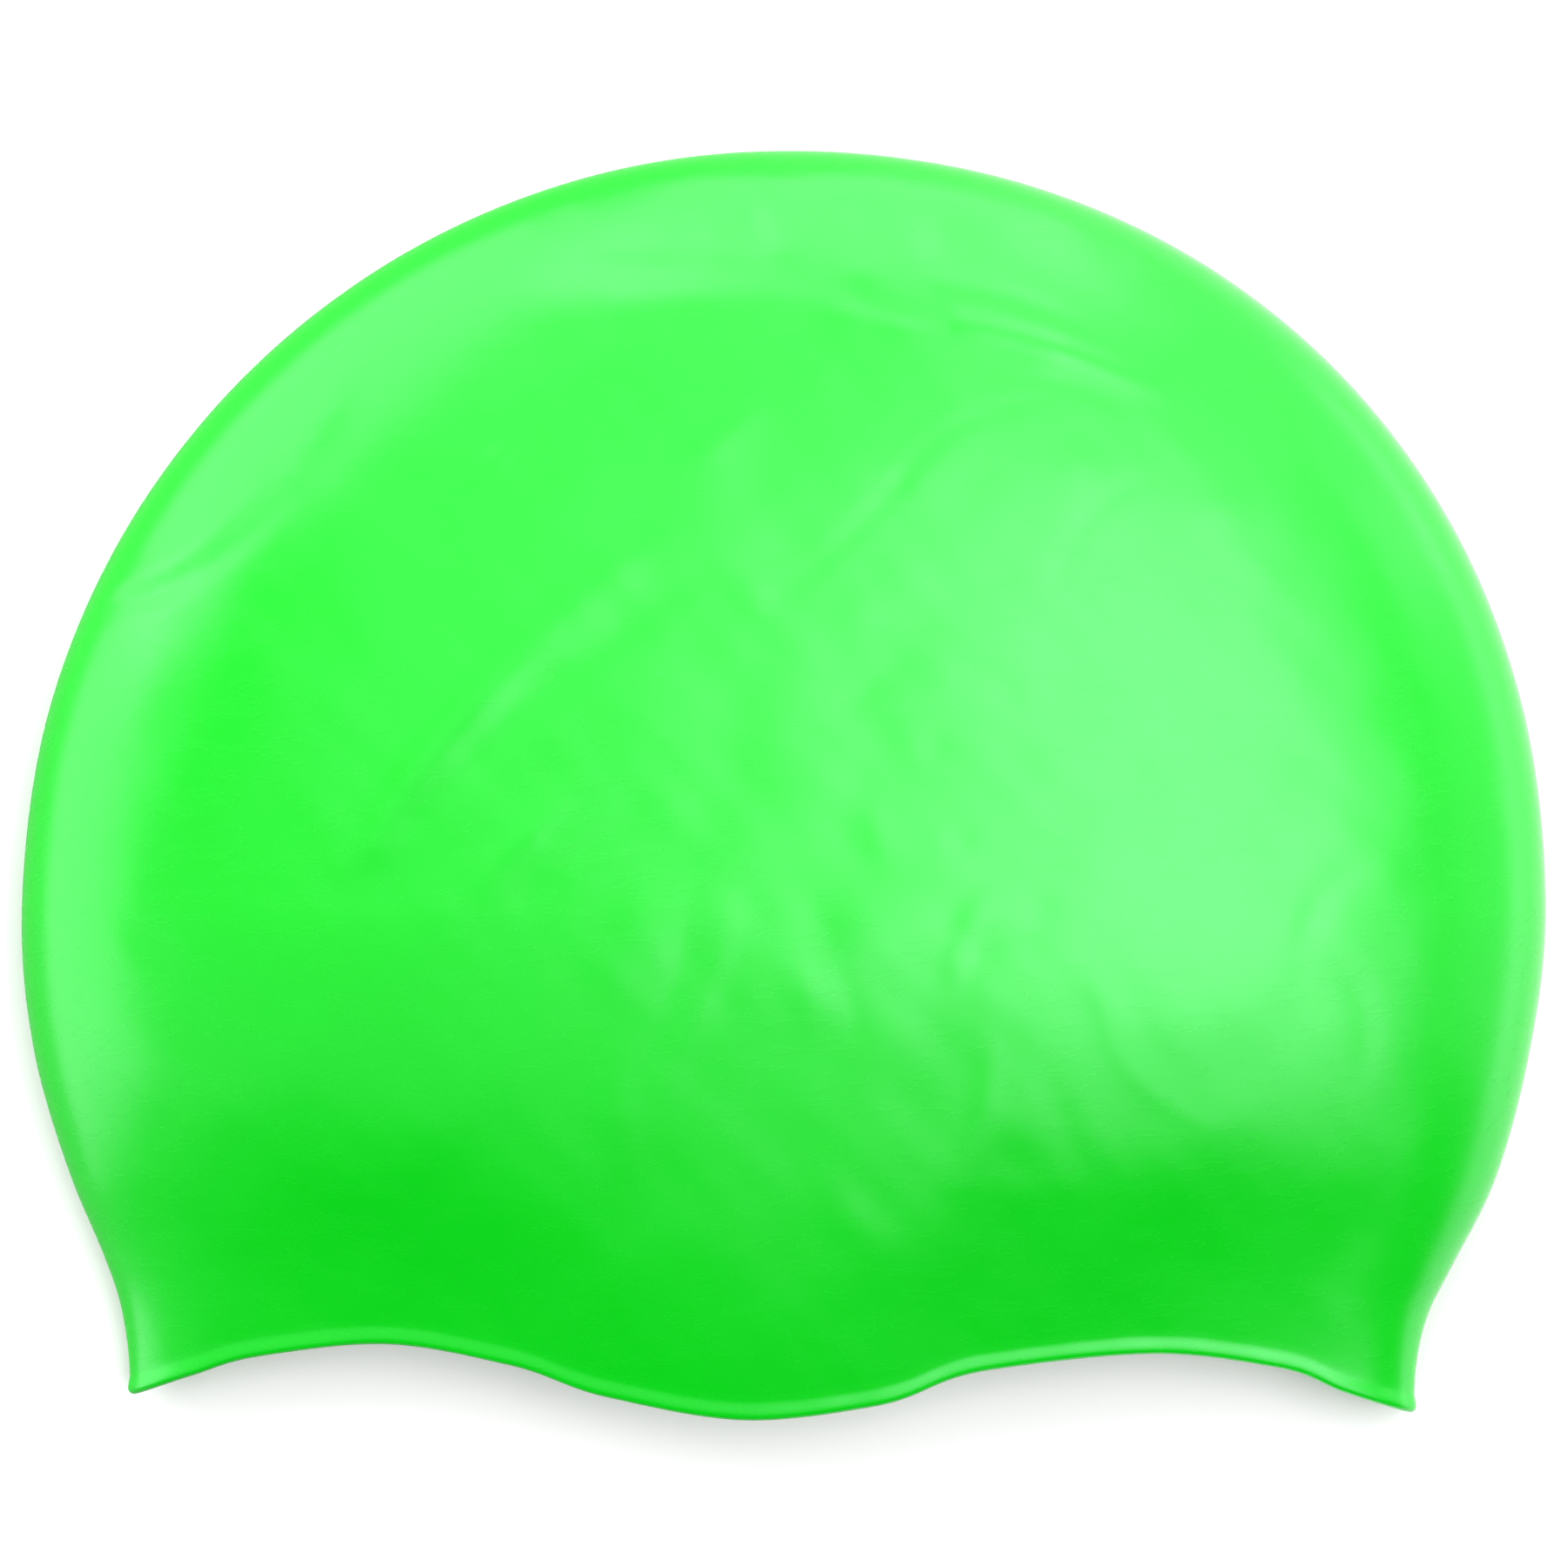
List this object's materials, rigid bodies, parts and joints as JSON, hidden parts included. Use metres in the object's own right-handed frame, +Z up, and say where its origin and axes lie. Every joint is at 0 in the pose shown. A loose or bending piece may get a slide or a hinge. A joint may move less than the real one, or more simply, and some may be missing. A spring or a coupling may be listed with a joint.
{
  "type": "swim cap",
  "caption": "Moulded silicone swim cap lying on its side: puffed round crown, flared rim corners and a waved rim that rises over each ear.",
  "frame": {"origin": "on the surface that the cap lies on, under the middle of its outline", "axes": "+X along the mouth, +Y from the rim to the crown top, +Z up, across the two side panels"},
  "size_m": [0.23, 0.1914, 0.0384],
  "materials": {
    "silicone": "satin"
  },
  "bodies": {
    "root": {"cap_shell": "silicone"}
  },
  "joints": []
}
